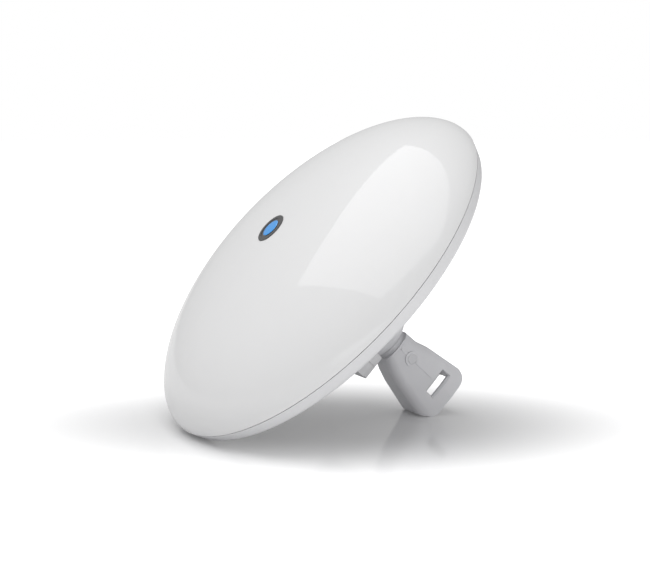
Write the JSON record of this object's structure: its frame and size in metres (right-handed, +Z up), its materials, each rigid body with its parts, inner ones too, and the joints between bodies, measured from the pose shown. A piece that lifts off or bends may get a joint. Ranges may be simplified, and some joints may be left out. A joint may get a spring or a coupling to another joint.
{
  "type": "outdoor wireless bridge",
  "caption": "Small round dish antenna with a glossy domed radome and a plain rim, held by a ball joint on a grey pole-mount arm with strap slots and a toothed pole saddle.",
  "frame": {"origin": "on the floor under the middle of the object, as it leans on its rim and on the heel of its mount", "axes": "+Z up, the dish faces -Y and leans back with its boresight 43.2 degrees above the horizontal, +X along the horizontal diameter of the dish"},
  "size_m": [0.189, 0.1404, 0.1428],
  "materials": {
    "radome": "glossy white UV-stable plastic",
    "badge": "plain blue dot with a dark ring",
    "seal_rubber": "soft",
    "rear_shell": "satin light grey-white plastic",
    "reflector": "spun aluminium",
    "screws": "zinc plated",
    "feed_tube": "drawn tube",
    "feed_cone": "milky dielectric",
    "sub_reflector": "pressed disc",
    "housing": "satin light grey plastic",
    "port_cover": "satin light grey plastic",
    "grommet_rubber": "soft",
    "vent_plug": "dark moulded",
    "circuit_board": "green solder mask",
    "shield_can": "tinned steel",
    "heat_pad": "soft grey-blue pad",
    "heat_spreader": "plain",
    "jack_shell": "nickel plated shell",
    "switch": "black",
    "button": "dark grey",
    "led_lens": "clear epoxy",
    "light_pipe": "clear acrylic",
    "ball_seat": "natural acetal",
    "clamp_ring": "glass-filled nylon",
    "lock_washer": "stainless",
    "lock_nut": "satin mid grey plastic",
    "ball_stud": "fine-textured mid grey plastic",
    "cross_pin": "mid grey plastic",
    "pole_mount": "satin mid grey plastic"
  },
  "bodies": {
    "pole_arm": {"ball_stud": "ball_stud", "cross_pin": "cross_pin", "pole_mount": "pole_mount"},
    "ball_seat": {"ball_seat": "ball_seat"},
    "clamp_ring": {"clamp_ring": "clamp_ring"},
    "antenna": {"radome": "radome", "front_badge": "badge", "radome_seal": "seal_rubber", "rear_shell": "rear_shell", "dish_reflector": "reflector", "reflector_screws": "screws", "feed_tube": "feed_tube", "feed_cone": "feed_cone", "sub_reflector": "sub_reflector", "rear_housing": "housing", "housing_screws": "screws", "vent_plug": "vent_plug", "main_board": "circuit_board", "board_screws": "screws", "rf_shield": "shield_can", "heat_pad": "heat_pad", "heat_spreader": "heat_spreader", "ethernet_jack": "jack_shell", "reset_switch": "switch", "status_leds": "led_lens", "light_pipes": "light_pipe", "lock_washer": "lock_washer"},
    "lock_nut": {"lock_nut": "lock_nut"},
    "port_cover": {"port_cover": "port_cover", "cable_grommet": "grommet_rubber"},
    "reset_button": {"reset_button": "button"}
  },
  "joints": [
    {"name": "ball_pan", "type": "hinge", "parent": "pole_arm", "child": "ball_seat", "pos_m": [0, 0.02935, 0.04157], "axis": [0, 0.6846, 0.729], "range_deg": [-15, 15]},
    {"name": "ball_tilt", "type": "hinge", "parent": "ball_seat", "child": "clamp_ring", "pos_m": [0, 0.02935, 0.04157], "axis": [1, 0, 0], "range_deg": [-15, 15]},
    {"name": "ball_roll", "type": "hinge", "parent": "clamp_ring", "child": "antenna", "pos_m": [0, 0.02935, 0.04157], "axis": [0, -0.729, 0.6846], "range_deg": [-90, 90]},
    {"name": "lock_nut_turn", "type": "hinge", "parent": "antenna", "child": "lock_nut", "pos_m": [0, 0.02935, 0.04157], "axis": [0, 0.729, -0.6846], "range_deg": [0, 90]},
    {"name": "port_cover_slide", "type": "slide", "parent": "antenna", "child": "port_cover", "axis": [0, -0.6846, -0.729], "range_m": [0, 0.024]},
    {"name": "reset_press", "type": "slide", "parent": "antenna", "child": "reset_button", "axis": [0, 0.6846, 0.729], "range_m": [0, 0.0008], "stiffness_N_per_m": 300, "springref_m": -0.001}
  ]
}
